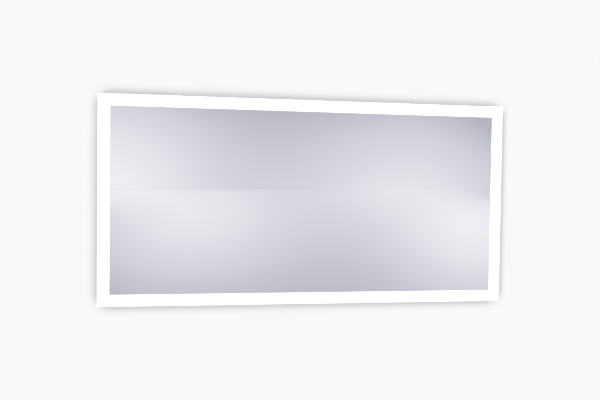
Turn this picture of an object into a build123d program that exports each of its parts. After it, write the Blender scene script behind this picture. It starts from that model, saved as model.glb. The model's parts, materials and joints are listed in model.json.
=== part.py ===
"""Illuminated wall mirror: a silvered glass pane inside a lit border, hung on a wall rail.

Four mitred aluminium channels form the frame. Each carries a board of LEDs behind a clip-in
opal cover, and the covers make the lit border. The glass is bonded to ledges on the channels,
two braces stiffen the middle, and a sheet-metal panel closes the back. The driver, the mains
connection box and the leads lie between the glass and that panel.

Frame: the origin is on the wall, in the middle of the wall rail's line of screws. +X is to the
viewer's right, +Y goes into the wall and +Z is up. Lengths are millimetres.
"""

import os
from math import cos, floor, radians, sin, tan

from build123d import *

# ---------------------------------------------------------------- driving dimensions
panel_width = 1200
panel_height = 600
body_depth = 33  # front of the glass to the back of the frame
light_width = 33  # the lit border

# frame channel
channel_wall = 1.6
channel_web = 1.7  # carries the LED board
channel_back = 1.8
key_chamber = 11  # clear depth behind the web
ledge_reach = 11
ledge_sheet = 1.6
snap_rib_reach = 0.5
snap_rib_start = 5.0
snap_rib_sheet = 1.0
channel_edge_radius = 1.0

# opal cover
cover_sheet = 2.5
cover_leg = 1.4
cover_leg_gap = 0.8  # channel wall to leg
cover_leg_depth = 6.5
cover_barb_reach = 0.5
cover_barb_gap = 0.3  # snap rib to barb
cover_barb_sheet = 1.5
cover_edge_radius = 1.2
cover_inner_radius = 0.4

# glass
glass_sheet = 4.0
glass_gap = 0.5
glass_arris = 0.6
bond_sheet = 1.0
bond_width = 9
bond_end_gap = 0.5

# LEDs
board_width = 12
board_sheet = 1.6
board_end_gap = 30  # from the panel's corner
led_pitch = 20
led_length = 3.5
led_width = 2.8
led_height = 0.8
led_lens_radius = 1.15
led_lens_height = 0.12
link_width = 5
link_sheet = 0.3
link_overlap = 4
connector_length = 9
connector_width = 7
connector_height = 5.6
connector_x = 150  # rounded to the middle of the nearest gap between LEDs

# corner keys and their screws
key_leg = 62
key_clearance = 0.2
key_outer_radius = 3
key_screw_from_corner = 46
key_screw_radius = 1.9
key_screw_length = 9
key_screw_head_radius = 3.6
key_screw_head = 2.2

# braces behind the glass
brace_x = 270  # to the web's inner face
brace_sheet = 1.5
brace_flange = 18
brace_end_clearance = 0.3
brace_pad_width = 12
brace_pad_end_gap = 4

# rear panel
panel_sheet = 1.0
panel_recess = 2.4
panel_edge_gap = 0.5
panel_corner_radius = 3
bead_width = 12
bead_height = 1.2
bead_inset = 62
bead_corner_radius = 24
bead_bar_x = 415
bead_bar_spacing = 60
bead_bar_length = 330
panel_screw_radius = 1.45
panel_screw_length = 8
panel_screw_head_radius = 2.8
panel_screw_head = 1.7
panel_screw_end_gap = 82  # from the panel's corner
panel_screw_side_z = 150
vent_length = 30
vent_width = 3
vent_count = 9
vent_pitch = 10
vent_z = 66  # from the panel's middle
thread_clearance = 0.05

# hanging cleat: hook rail on the frame, wall rail on the wall
cleat_sheet = 1.5
cleat_clearance = 0.3
cleat_back_space = 1.4
cleat_lip = 9
hook_length = 680
hook_base = 20
hook_inset = 5  # from the frame's top edge
hook_lip_clearance = 1.2
hook_screws = 5
hook_screw_spacing = 160
hook_screw_head = 1.9
wall_rail_length = 640
wall_rail_above = 14  # screw line to the top of its base
wall_rail_below = 12
wall_slot_spacing = 560
wall_slot_length = 14
wall_slot_radius = 2.75

# driver
driver_x = 62
driver_z = 0  # from the panel's middle
driver_length = 172
driver_width = 48
driver_height = 20
driver_split = 11  # height of the base
driver_wall = 1.5
driver_corner_radius = 3
driver_ear = 11
driver_ear_sheet = 3
driver_board_gap = 1.5
driver_board_sheet = 1.6
driver_board_edge_gap = 1.0
driver_post_radius = 2.2
driver_coil_height = 11
driver_coils = ((-6, 0, 30, 26), (34, 9, 18, 14))  # x, z, length, width from its middle
driver_can_height = 12
driver_cans = ((-38, 8, 6), (-38, -8, 6), (34, -10, 5))  # x, z, radius
driver_terminal_length = 12
driver_terminal_width = 16
driver_terminal_height = 10.5
driver_screw_radius = 1.6
driver_screw_length = 4.6

# mains connection box
box_x = -140
box_z = 0  # from the panel's middle
box_length = 100
box_width = 60
box_depth = 17
box_wall = 1.6
box_flange = 9
box_corner_radius = 4
box_hole_clearance = 0.9
box_cover_sheet = 1.2
box_cover_overlap = 9
box_screw_radius = 1.45
box_screw_length = 6
terminal_x = 26  # from the box's middle
terminal_length = 18
terminal_width = 32
terminal_height = 13
terminal_poles = 3
terminal_pitch = 10
terminal_bore_radius = 2.7
terminal_bore_height = 5.2
terminal_bore_depth = 4
terminal_screw_radius = 1.7
terminal_screw_length = 4
terminal_screw_side = 4.5
grommet_x = -26  # from the box's middle
grommet_bore = 4.0
grommet_seat = 6.0
grommet_flange = 9.0
grommet_lip = 2.0

# leads
lead_radius = 2.2
lead_clearance = 0.3
bush_flange = 0.8
bush_sheet = 1.2
clip_width = 7
clip_wall = 1.8
switch_lead_bow = 29  # terminal block to where the switch lead leaves the box
bush_gap = 0.1  # bush to the rear ledge

# rocker switch in the bottom channel
switch_x = -150
switch_from_rear = 7.3  # its middle, from the back of the frame
switch_bezel_length = 15.4
switch_bezel_width = 10.4
switch_bezel_sheet = 1.3
switch_bezel_radius = 1.2
switch_body_length = 13.6
switch_body_width = 8.6
switch_body_height = 13.5
switch_cut_clearance = 0.15
switch_wall = 0.7
switch_floor_height = 6.6
rocker_radius = 5.9
rocker_clearance = 0.3
rocker_pivot_height = 1.9  # above the bezel's outer face
rocker_crown = 2.6  # pivot to the middle of the pressed face
rocker_base = 1.4
rocker_tilt = 11
rocker_pin_radius = 1.0
rocker_pin_reach = 0.45
rocker_pin_clearance = 0.05

# wall bumpers
bumper_radius = 10
bumper_x = 470
bumper_edge_radius = 1.0

# screw recess
recess_width = 0.8
recess_share = 1.15  # recess length over the head's radius
recess_depth = 1.0

# ---------------------------------------------------------------- derived places
wall_gap = 2 * cleat_clearance + 2 * cleat_sheet + cleat_back_space
total_depth = body_depth + wall_gap
seat_z = wall_rail_above + cleat_lip
panel_top = seat_z + hook_base + hook_inset
panel_bottom = panel_top - panel_height
panel_mid = (panel_top + panel_bottom) / 2

web_front = body_depth - channel_back - key_chamber - channel_web
board_front = web_front - board_sheet
glass_ledge_front = glass_sheet + bond_sheet
glass_ledge_back = glass_ledge_front + ledge_sheet
panel_front = body_depth - panel_recess - panel_sheet
panel_back = panel_front + panel_sheet
panel_ledge_front = panel_front - ledge_sheet
screw_line = light_width + ledge_reach / 2


def at(depth):
    """The plane at this depth behind the front face, seen from the front: its x and y are X and Z."""
    return Plane.XZ.offset(total_depth - depth)


def y_at(depth):
    """Y of the plane at this depth behind the front face."""
    return depth - total_depth


def save(part, label):
    """Labels a finished piece and writes it."""
    part.label = label
    export_step(part, f"parts/{label}.step")


class Side:
    """One side of the panel: its length, the middle of its outer edge and the way inwards, as X and Z."""

    def __init__(self, name, channel_name, length, middle, inward):
        self.name = name
        self.channel_name = channel_name
        self.length = length
        self.middle = middle
        self.inward = inward
        self.along = (-inward[1], inward[0])

    def section(self):
        """The plane across the side, with x going inwards from the outer edge and y from front to back."""
        return Plane(
            origin=(self.middle[0], -total_depth, self.middle[1]),
            x_dir=(self.inward[0], 0, self.inward[1]),
            z_dir=(self.along[0], 0, self.along[1]),
        )

    def point(self, inset, shift=0):
        """The point this far in from the outer edge and this far along from the side's middle."""
        return tuple(self.middle[i] + self.inward[i] * inset + self.along[i] * shift for i in (0, 1))

    def size(self, length, width):
        """A size along and across the side, as X and Z."""
        return (length, width) if self.inward[0] == 0 else (width, length)

    def mitre(self, reach):
        """The outline of a bar of this width whose ends are cut at 45 degrees."""
        half = self.length / 2
        return (
            self.point(0, -half),
            self.point(0, half),
            self.point(reach, half - reach),
            self.point(reach, reach - half),
        )


sides = (
    Side("top", "frame_rail_top", panel_width, (0, panel_top), (0, -1)),
    Side("bottom", "frame_rail_bottom", panel_width, (0, panel_bottom), (0, 1)),
    Side("left", "frame_stile_left", panel_height, (-panel_width / 2, panel_mid), (1, 0)),
    Side("right", "frame_stile_right", panel_height, (panel_width / 2, panel_mid), (-1, 0)),
)
top_side, bottom_side, left_side, right_side = sides


def rectangle(x_low, x_high, y_low, y_high):
    """A rectangle between two corners, added to the sketch being built."""
    with Locations(((x_low + x_high) / 2, (y_low + y_high) / 2)):
        Rectangle(x_high - x_low, y_high - y_low)


def screws(points, seat, radius, length, head_radius, head):
    """Pan-head screws driven from behind: the heads stand on the plane at depth seat."""
    with BuildPart() as made:
        with BuildSketch(at(seat)):
            with Locations(*points):
                Circle(radius)
        extrude(amount=length)
        with BuildSketch(at(seat)):
            with Locations(*points):
                Circle(head_radius)
        extrude(amount=-head)
        crowns = made.edges().filter_by(GeomType.CIRCLE).group_by(Axis.Y)[-1]
        fillet(crowns, head * 0.45)
        with BuildSketch(at(seat + head)):
            with Locations(*points):
                Rectangle(head_radius * recess_share, recess_width)
                Rectangle(recess_width, head_radius * recess_share)
        extrude(amount=recess_depth, mode=Mode.SUBTRACT)
    return made.part


def drill(points, depth, length, radius):
    """Round holes from the plane at this depth towards the back, cut in the part being built."""
    with BuildSketch(at(depth)) as holes:
        with Locations(*points):
            Circle(radius)
    extrude(holes.sketch, amount=-length, mode=Mode.SUBTRACT)


# ---------------------------------------------------------------- where the screws go
key_screw_points = [
    side.point(light_width / 2, end * (side.length / 2 - key_screw_from_corner))
    for side in sides
    for end in (-1, 1)
]
brace_screw_x = brace_x + brace_flange / 2
row_screw_x = (
    -(panel_width / 2 - panel_screw_end_gap),
    -brace_screw_x,
    0,
    brace_screw_x,
    panel_width / 2 - panel_screw_end_gap,
)
panel_screw_points = [
    (x, side.point(screw_line)[1]) for side in (top_side, bottom_side) for x in row_screw_x
] + [
    (side.point(screw_line)[0], panel_mid + z)
    for side in (left_side, right_side)
    for z in (-panel_screw_side_z, panel_screw_side_z)
]
hook_screw_z = seat_z + hook_base / 2
hook_screw_points = [
    ((i - (hook_screws - 1) / 2) * hook_screw_spacing, hook_screw_z) for i in range(hook_screws)
]
driver_mid = panel_mid + driver_z
driver_ear_x = driver_length / 2 + driver_ear / 2
driver_screw_points = [(driver_x + end * driver_ear_x, driver_mid) for end in (-1, 1)]
box_mid = panel_mid + box_z
box_screw_x = box_length / 2 + box_flange / 2
box_screw_points = [(box_x + end * box_screw_x, box_mid) for end in (-1, 1)]

# ---------------------------------------------------------------- where the leads go
os.makedirs("parts", exist_ok=True)


def leds_on(side):
    """How many LEDs one side's board holds."""
    return floor((side.length - 2 * board_end_gap) / led_pitch)


# the feed connector sits half way between two LEDs of the top board
feed_shift = 0.5 if leds_on(top_side) % 2 else 0.0
feed_x = (round(connector_x / led_pitch - feed_shift) + feed_shift) * led_pitch
feed_depth = board_front - connector_height / 2
switch_depth = body_depth - switch_from_rear
bush_bore = lead_radius + lead_clearance
bush_outer = bush_bore + bush_sheet
switch_lead_depth = panel_ledge_front - bush_outer - bush_flange - bush_gap
terminal_back = panel_front - box_depth + box_wall + terminal_height
terminal_bore_front = panel_front - box_depth + box_wall + terminal_bore_height
terminal_face = box_x + terminal_x + terminal_length / 2
switch_hole_x = terminal_face - terminal_length - switch_lead_bow
driver_lead_depth = panel_front - driver_split / 2 - 1
inner_top = panel_top - light_width
inner_bottom = panel_bottom + light_width
connector_mid = panel_top - light_width / 2 - 1


def lead(points, radius):
    """A round lead along straight runs joined by arcs as large as the runs allow."""
    places = [Vector(x, y_at(depth), z) for x, depth, z in points]
    runs = [b - a for a, b in zip(places, places[1:])]
    bends = [
        0.45 * min(one.length, two.length) / tan(radians(one.get_angle(two)) / 2)
        for one, two in zip(runs, runs[1:])
    ]
    print("lead radii", [round(bend) for bend in bends])
    with BuildPart() as made:
        with BuildLine() as path:
            FilletPolyline(*places, radius=bends)
        with BuildSketch(Plane(origin=places[0], z_dir=runs[0])):
            Circle(radius)
        sweep(path=path.wire())
    return made.part


mains_end_x = driver_x - driver_length / 2 + driver_wall + driver_board_edge_gap
output_end_x = driver_x + driver_length / 2 - driver_wall - driver_board_edge_gap
mains_points = (
    (terminal_face - terminal_bore_depth, terminal_bore_front, box_mid - terminal_pitch),
    (box_x + box_length / 2 + 10, terminal_bore_front, box_mid - terminal_pitch),
    (driver_x - driver_length / 2 - 26, driver_lead_depth, driver_mid),
    (mains_end_x, driver_lead_depth, driver_mid),
)
output_points = (
    (output_end_x, driver_lead_depth, driver_mid),
    (driver_x + driver_length / 2 + 26, driver_lead_depth, driver_mid),
    (driver_x + driver_length / 2 + 52, driver_lead_depth - 1, driver_mid + 38),
    (driver_x + driver_length / 2 + 46, driver_lead_depth - 2, driver_mid + 100),
    (feed_x + 26, driver_lead_depth - 5, inner_top - 107),
    (feed_x, feed_depth, inner_top - 46),
    (feed_x, feed_depth, connector_mid - connector_length / 2),
)
switch_points = (
    (terminal_face - terminal_length + terminal_bore_depth, terminal_bore_front, box_mid),
    (terminal_face - terminal_length - 16, terminal_bore_front, box_mid),
    (switch_hole_x, terminal_bore_front, box_mid - 16),
    (switch_hole_x, terminal_bore_front, box_mid - box_width / 2 - 20),
    (switch_hole_x + 9, terminal_bore_front + 2, box_mid - box_width / 2 - 78),
    (switch_x - 7, terminal_bore_front + 3, inner_bottom + 97),
    (switch_x, switch_lead_depth, inner_bottom + 35),
    (switch_x, switch_lead_depth, panel_bottom + switch_body_height - switch_bezel_sheet),
)

# ---------------------------------------------------------------- frame channels


def channel_outline():
    """The channel's cross-section: light chamber in front, key chamber behind, ledges inwards."""
    inner_wall = light_width - channel_wall
    rectangle(0, channel_wall, cover_sheet, body_depth)
    rectangle(inner_wall, light_width, cover_sheet, body_depth)
    rectangle(0, light_width, web_front, web_front + channel_web)
    rectangle(0, light_width, body_depth - channel_back, body_depth)
    for front in (glass_ledge_front, panel_ledge_front):
        rectangle(inner_wall, light_width + ledge_reach, front, front + ledge_sheet)
    rib_back = snap_rib_start + snap_rib_sheet
    rectangle(0, channel_wall + snap_rib_reach, snap_rib_start, rib_back)
    rectangle(inner_wall - snap_rib_reach, light_width, snap_rib_start, rib_back)


def at_corner(vertices, x, y):
    """The vertices of a section that lie at this corner."""
    return [v for v in vertices if abs(v.X - x) < 1e-4 and abs(v.Y - y) < 1e-4]


for side in sides:
    with BuildPart() as channel:
        with BuildSketch(side.section()) as outline:
            channel_outline()
            corners = at_corner(outline.sketch_local.vertices(), 0, body_depth)
            fillet(corners, channel_edge_radius)
        extrude(amount=side.length / 2, both=True)
        with BuildSketch(at(0)):
            Polygon(*side.mitre(light_width + ledge_reach), align=None)
        extrude(amount=-body_depth, mode=Mode.INTERSECT)
        back_start = body_depth - channel_back
        drill(key_screw_points, back_start, channel_back, key_screw_radius + thread_clearance)
        drill(hook_screw_points, back_start, channel_back, panel_screw_radius + thread_clearance)
        drill(panel_screw_points, panel_ledge_front, ledge_sheet, panel_screw_radius + thread_clearance)
        with Locations((feed_x, y_at(feed_depth), inner_top + channel_wall / 2)):
            Cylinder(bush_outer, channel_wall, mode=Mode.SUBTRACT)
        with Locations((switch_x, y_at(switch_lead_depth), inner_bottom - channel_wall / 2)):
            Cylinder(bush_outer, channel_wall, mode=Mode.SUBTRACT)
        with Locations((switch_x, y_at(switch_depth), panel_bottom + channel_wall / 2)):
            Box(
                switch_body_length + 2 * switch_cut_clearance,
                switch_body_width + 2 * switch_cut_clearance,
                channel_wall * 2,
                mode=Mode.SUBTRACT,
            )
    save(channel.part, side.channel_name)

# ---------------------------------------------------------------- opal covers


def cover_outline():
    """A clip-in cover: a flat cap with two barbed legs."""
    leg = channel_wall + cover_leg_gap
    barb_front = snap_rib_start + snap_rib_sheet + cover_barb_gap
    rectangle(0, light_width, 0, cover_sheet)
    for start, barb_start in (
        (leg, leg - cover_barb_reach),
        (light_width - leg - cover_leg, light_width - leg),
    ):
        rectangle(start, start + cover_leg, 0, cover_sheet + cover_leg_depth)
        rectangle(barb_start, barb_start + cover_barb_reach, barb_front, barb_front + cover_barb_sheet)


for side in sides:
    with BuildPart() as cover:
        with BuildSketch(side.section()) as outline:
            cover_outline()
            corners = at_corner(outline.sketch_local.vertices(), 0, 0)
            fillet(corners, cover_edge_radius)
            corners = at_corner(outline.sketch_local.vertices(), light_width, 0)
            fillet(corners, cover_inner_radius)
        extrude(amount=side.length / 2, both=True)
        with BuildSketch(at(0)):
            Polygon(*side.mitre(light_width), align=None)
        extrude(amount=-body_depth, mode=Mode.INTERSECT)
    save(cover.part, f"light_cover_{side.name}")

# ---------------------------------------------------------------- LED boards and their links
for side in sides:
    board_length = side.length - 2 * board_end_gap
    with BuildPart() as board:
        with BuildSketch(at(board_front)):
            with Locations(side.point(light_width / 2)):
                Rectangle(*side.size(board_length, board_width))
        extrude(amount=-board_sheet)
    save(board.part, f"led_board_{side.name}")

    count = leds_on(side)
    led_points = [
        side.point(light_width / 2, (i - (count - 1) / 2) * led_pitch) for i in range(count)
    ]
    with BuildPart() as leds:
        with BuildSketch(at(board_front)):
            with Locations(*led_points):
                Rectangle(*side.size(led_width, led_length))
        extrude(amount=led_height)
        with BuildSketch(at(board_front - led_height)):
            with Locations(*led_points):
                Circle(led_lens_radius)
        extrude(amount=led_lens_height)
    save(leds.part, f"leds_{side.name}")

link_radius = board_end_gap - light_width / 2
with BuildPart() as links:
    for end_x in (-1, 1):
        for end_z in (-1, 1):
            turn = (
                end_x * (panel_width / 2 - board_end_gap),
                panel_mid + end_z * (panel_height / 2 - board_end_gap),
            )
            start = (turn[0] - end_x * link_overlap, turn[1] + end_z * link_radius)
            middle = (turn[0], start[1])
            corner = (turn[0] + end_x * link_radius, turn[1])
            finish = (corner[0], turn[1] - end_z * link_overlap)
            with BuildSketch(at(board_front)):
                with BuildLine():
                    Line(start, middle)
                    RadiusArc(middle, corner, end_x * end_z * link_radius)
                    Line(corner, finish)
                trace(line_width=link_width)
            extrude(amount=link_sheet)
save(links.part, "led_link_ribbons")

with BuildPart() as connector:
    with BuildSketch(at(board_front)):
        with Locations((feed_x, connector_mid)):
            Rectangle(connector_width, connector_length)
    extrude(amount=connector_height)
    chamfer(connector.faces().sort_by(Axis.Y)[0].edges(), 0.5)
save(connector.part, "led_feed_connector")

# ---------------------------------------------------------------- corner keys
near = channel_wall + key_clearance
far = light_width - channel_wall - key_clearance
key_front = web_front + channel_web + key_clearance
with BuildPart() as keys:
    with BuildSketch(at(key_front)) as key_outline:
        for end_x in (-1, 1):
            for end_z in (-1, 1):
                corner_x, corner_z = end_x * panel_width / 2, panel_mid + end_z * panel_height / 2
                steps = (
                    (near, near),
                    (key_leg, near),
                    (key_leg, far),
                    (far, far),
                    (far, key_leg),
                    (near, key_leg),
                )
                Polygon(*[(corner_x - end_x * a, corner_z - end_z * b) for a, b in steps], align=None)
                outer = at_corner(
                    key_outline.sketch_local.vertices(), corner_x - end_x * near, corner_z - end_z * near
                )
                fillet(outer, key_outer_radius)
    extrude(amount=-(key_chamber - 2 * key_clearance))
    drill(key_screw_points, key_front, key_chamber, key_screw_radius + thread_clearance)
save(keys.part, "corner_keys")
save(
    screws(
        key_screw_points,
        body_depth,
        key_screw_radius,
        key_screw_length,
        key_screw_head_radius,
        key_screw_head,
    ),
    "corner_key_screws",
)

# ---------------------------------------------------------------- mirror glass and its bond
glass_inset = light_width + glass_gap
with BuildPart() as glass:
    with BuildSketch(at(0)):
        with Locations((0, panel_mid)):
            Rectangle(panel_width - 2 * glass_inset, panel_height - 2 * glass_inset)
    extrude(amount=-glass_sheet)
    chamfer(glass.faces().filter_by(Axis.Y).edges(), glass_arris)
save(glass.part, "mirror_glass")

bond_inset = light_width + ledge_reach - bond_width
with BuildPart() as bond:
    with BuildSketch(at(glass_sheet)):
        for side in sides:
            inset = bond_inset
            if side in (left_side, right_side):
                inset += bond_width + bond_end_gap
            with Locations(side.point(bond_inset + bond_width / 2)):
                Rectangle(*side.size(side.length - 2 * inset, bond_width))
    extrude(amount=-bond_sheet)
save(bond.part, "glass_bond_tape")

# ---------------------------------------------------------------- braces and their pads
brace_low = inner_bottom + brace_end_clearance
brace_length = inner_top - brace_end_clearance - brace_low
for name, hand in (("left", -1), ("right", 1)):
    with BuildPart() as brace:
        with BuildSketch(Plane.XY.offset(brace_low)):
            y_front, y_back = y_at(glass_ledge_back), y_at(panel_ledge_front)
            web = sorted((hand * brace_x, hand * (brace_x + brace_sheet)))
            flange = sorted((hand * brace_x, hand * (brace_x + brace_flange)))
            rectangle(*web, y_front, y_back)
            rectangle(*flange, y_front, y_front + brace_sheet)
            rectangle(*flange, y_back - brace_sheet, y_back)
        extrude(amount=brace_length)
        drill(
            panel_screw_points,
            panel_ledge_front - brace_sheet,
            brace_sheet,
            panel_screw_radius + thread_clearance,
        )
    save(brace.part, f"brace_{name}")

with BuildPart() as pads:
    with BuildSketch(at(glass_sheet)):
        with Locations((-brace_screw_x, panel_mid), (brace_screw_x, panel_mid)):
            pad_length = panel_height - 2 * (light_width + ledge_reach + brace_pad_end_gap)
            Rectangle(brace_pad_width, pad_length)
    extrude(amount=-(glass_ledge_back - glass_sheet))
save(pads.part, "brace_pads")

# ---------------------------------------------------------------- rear panel


def bead_outline(shrink):
    """The stiffening beads, seen from behind: a ring and two bars each side, each narrowed by shrink."""
    ring_width = panel_width - 2 * (light_width + bead_inset)
    ring_height = panel_height - 2 * (light_width + bead_inset)
    outer, inner = bead_width / 2 - shrink, bead_width / 2 - shrink
    with Locations((0, panel_mid)):
        RectangleRounded(ring_width + 2 * outer, ring_height + 2 * outer, bead_corner_radius + outer)
        RectangleRounded(
            ring_width - 2 * inner, ring_height - 2 * inner, bead_corner_radius - inner, mode=Mode.SUBTRACT
        )
    for x in (-bead_bar_x, bead_bar_x):
        for shift in (-bead_bar_spacing / 2, bead_bar_spacing / 2):
            with Locations((x + shift, panel_mid)):
                SlotOverall(bead_bar_length - 2 * shrink, bead_width - 2 * shrink, rotation=90)


panel_inset = light_width + panel_edge_gap
with BuildPart() as rear:
    with BuildSketch(at(panel_front)):
        with Locations((0, panel_mid)):
            RectangleRounded(
                panel_width - 2 * panel_inset, panel_height - 2 * panel_inset, panel_corner_radius
            )
    extrude(amount=-panel_sheet)
    with BuildSketch(at(panel_back)):
        bead_outline(0)
    extrude(amount=-bead_height)
    fillet(rear.edges().group_by(Axis.Y)[-1], bead_height * 0.4)
    with BuildSketch(at(panel_front)):
        bead_outline(panel_sheet)
    extrude(amount=-bead_height, mode=Mode.SUBTRACT)
    with BuildSketch(at(panel_front)):
        with Locations((box_x, box_mid)):
            RectangleRounded(box_length, box_width, box_corner_radius)
    extrude(amount=-panel_sheet, mode=Mode.SUBTRACT)
    with BuildSketch(at(panel_front)):
        with Locations(*((x, panel_mid + row * vent_z) for x in (box_x, driver_x) for row in (-1, 1))):
            with GridLocations(vent_pitch, 0, vent_count, 1):
                SlotOverall(vent_length, vent_width, rotation=90)
    extrude(amount=-panel_sheet, mode=Mode.SUBTRACT)
    drill(panel_screw_points, panel_front, panel_sheet, panel_screw_radius + thread_clearance)
    drill(driver_screw_points, panel_front, panel_sheet, driver_screw_radius + thread_clearance)
    drill(box_screw_points, panel_front, panel_sheet, box_screw_radius + thread_clearance)
save(rear.part, "rear_panel")
save(
    screws(
        panel_screw_points,
        panel_back,
        panel_screw_radius,
        panel_screw_length,
        panel_screw_head_radius,
        panel_screw_head,
    ),
    "rear_panel_screws",
)

# ---------------------------------------------------------------- driver
driver_front = panel_front - driver_height
base_front = panel_front - driver_split
driver_floor = panel_front - driver_wall
driver_board_back = driver_floor - driver_board_gap
driver_board_front = driver_board_back - driver_board_sheet
driver_inner_length = driver_length - 2 * driver_wall
driver_inner_width = driver_width - 2 * driver_wall
post_points = [
    (
        driver_x + end_x * (driver_inner_length / 2 - 8),
        driver_mid + end_z * (driver_inner_width / 2 - 5),
    )
    for end_x in (-1, 1)
    for end_z in (-1, 1)
]
with BuildPart() as driver_base:
    with BuildSketch(at(base_front)):
        with Locations((driver_x, driver_mid)):
            RectangleRounded(driver_length, driver_width, driver_corner_radius)
    extrude(amount=-driver_split)
    with BuildSketch(at(panel_front - driver_ear_sheet)):
        with Locations((driver_x, driver_mid)):
            RectangleRounded(
                driver_length + 2 * driver_ear, driver_width / 2, driver_corner_radius
            )
    extrude(amount=-driver_ear_sheet)
    with BuildSketch(at(base_front)):
        with Locations((driver_x, driver_mid)):
            RectangleRounded(
                driver_inner_length, driver_inner_width, driver_corner_radius - driver_wall
            )
    extrude(amount=-(driver_split - driver_wall), mode=Mode.SUBTRACT)
    with BuildSketch(at(driver_floor)):
        with Locations(*post_points):
            Circle(driver_post_radius)
    extrude(amount=driver_board_gap)
    drill(
        driver_screw_points,
        panel_front - driver_ear_sheet,
        driver_ear_sheet,
        driver_screw_radius + thread_clearance,
    )
    with Locations((driver_x, y_at(driver_lead_depth), driver_mid)):
        Cylinder(
            lead_radius + lead_clearance,
            driver_length + 2,
            rotation=(0, 90, 0),
            mode=Mode.SUBTRACT,
        )
save(driver_base.part, "driver_base")

with BuildPart() as driver_cover:
    with BuildSketch(at(driver_front)):
        with Locations((driver_x, driver_mid)):
            RectangleRounded(driver_length, driver_width, driver_corner_radius)
    extrude(amount=-(driver_height - driver_split))
    fillet(driver_cover.edges().group_by(Axis.Y)[0], 1.0)
    with BuildSketch(at(driver_front + driver_wall)):
        with Locations((driver_x, driver_mid)):
            RectangleRounded(
                driver_inner_length, driver_inner_width, driver_corner_radius - driver_wall
            )
    extrude(amount=-(driver_height - driver_split), mode=Mode.SUBTRACT)
save(driver_cover.part, "driver_cover")

board_length = driver_inner_length - 2 * driver_board_edge_gap
terminal_centres = [
    driver_x + end * (driver_inner_length / 2 - driver_board_edge_gap - driver_terminal_length / 2)
    for end in (-1, 1)
]
with BuildPart() as circuit:
    with BuildSketch(at(driver_board_front)):
        with Locations((driver_x, driver_mid)):
            Rectangle(board_length, driver_inner_width - 2 * driver_board_edge_gap)
    extrude(amount=-driver_board_sheet)
save(circuit.part, "driver_circuit_board")

with BuildPart() as components:
    with BuildSketch(at(driver_board_front)):
        for x, z, length, width in driver_coils:
            with Locations((driver_x + x, driver_mid + z)):
                Rectangle(length, width)
    extrude(amount=driver_coil_height)
    with BuildSketch(at(driver_board_front)):
        for x, z, radius in driver_cans:
            with Locations((driver_x + x, driver_mid + z)):
                Circle(radius)
    extrude(amount=driver_can_height)
save(components.part, "driver_components")

with BuildPart() as driver_terminals:
    with BuildSketch(at(driver_board_front)):
        with Locations(*[(x, driver_mid) for x in terminal_centres]):
            Rectangle(driver_terminal_length, driver_terminal_width)
    extrude(amount=driver_terminal_height)
    with Locations((driver_x, y_at(driver_lead_depth), driver_mid)):
        Cylinder(
            lead_radius + lead_clearance,
            driver_inner_length,
            rotation=(0, 90, 0),
            mode=Mode.SUBTRACT,
        )
save(driver_terminals.part, "driver_terminals")
save(
    screws(
        driver_screw_points,
        panel_back,
        driver_screw_radius,
        driver_screw_length,
        panel_screw_head_radius,
        panel_screw_head,
    ),
    "driver_screws",
)

# ---------------------------------------------------------------- mains connection box
box_front = panel_front - box_depth
with BuildPart() as box:
    with BuildSketch(at(box_front)):
        with Locations((box_x, box_mid)):
            RectangleRounded(
                box_length + 2 * box_wall, box_width + 2 * box_wall, box_corner_radius + box_wall
            )
    extrude(amount=-box_depth)
    with BuildSketch(at(panel_front - box_wall)):
        with Locations((box_x, box_mid)):
            RectangleRounded(
                box_length + 2 * box_flange, box_width + 2 * box_flange, box_corner_radius + box_wall
            )
    extrude(amount=-box_wall)
    with BuildSketch(at(box_front + box_wall)):
        with Locations((box_x, box_mid)):
            RectangleRounded(box_length, box_width, box_corner_radius)
    extrude(amount=-box_depth, mode=Mode.SUBTRACT)
    drill(box_screw_points, panel_front - box_wall, box_wall, box_screw_radius + thread_clearance)
    with Locations(
        (box_x + box_length / 2, y_at(terminal_bore_front), box_mid - terminal_pitch)
    ):
        Cylinder(lead_radius + box_hole_clearance, 4 * box_wall, rotation=(0, 90, 0), mode=Mode.SUBTRACT)
    with Locations((switch_hole_x, y_at(terminal_bore_front), box_mid - box_width / 2)):
        Cylinder(lead_radius + box_hole_clearance, 4 * box_wall, mode=Mode.SUBTRACT)
save(box.part, "connection_box")

with BuildPart() as box_cover:
    with BuildSketch(at(panel_back)):
        with Locations((box_x, box_mid)):
            RectangleRounded(
                box_length + 2 * box_cover_overlap,
                box_width + 2 * box_cover_overlap,
                box_corner_radius + box_wall,
            )
    extrude(amount=-box_cover_sheet)
    chamfer(box_cover.edges().group_by(Axis.Y)[-1], 0.4)
    drill(box_screw_points, panel_back, box_cover_sheet, box_screw_radius + thread_clearance)
    drill([(box_x + grommet_x, box_mid)], panel_back, box_cover_sheet, grommet_seat)
save(box_cover.part, "connection_box_cover")
save(
    screws(
        box_screw_points,
        panel_back + box_cover_sheet,
        box_screw_radius,
        box_screw_length,
        panel_screw_head_radius,
        panel_screw_head,
    ),
    "connection_box_screws",
)

with BuildPart() as grommet:
    with BuildSketch(Plane.XY.offset(box_mid)) as ring:
        middle = box_x + grommet_x
        cover_back = y_at(panel_back + box_cover_sheet)
        rectangle(middle + grommet_bore, middle + grommet_seat, y_at(panel_back), cover_back)
        rectangle(
            middle + grommet_bore, middle + grommet_flange, y_at(panel_back) - grommet_lip, y_at(panel_back)
        )
        rectangle(middle + grommet_bore, middle + grommet_flange, cover_back, cover_back + grommet_lip)
        outer = at_corner(ring.sketch_local.vertices(), middle + grommet_flange, cover_back + grommet_lip)
        fillet(outer, 0.9)
    revolve(axis=Axis((box_x + grommet_x, 0, box_mid), (0, 1, 0)))
save(grommet.part, "cable_grommet")

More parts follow.
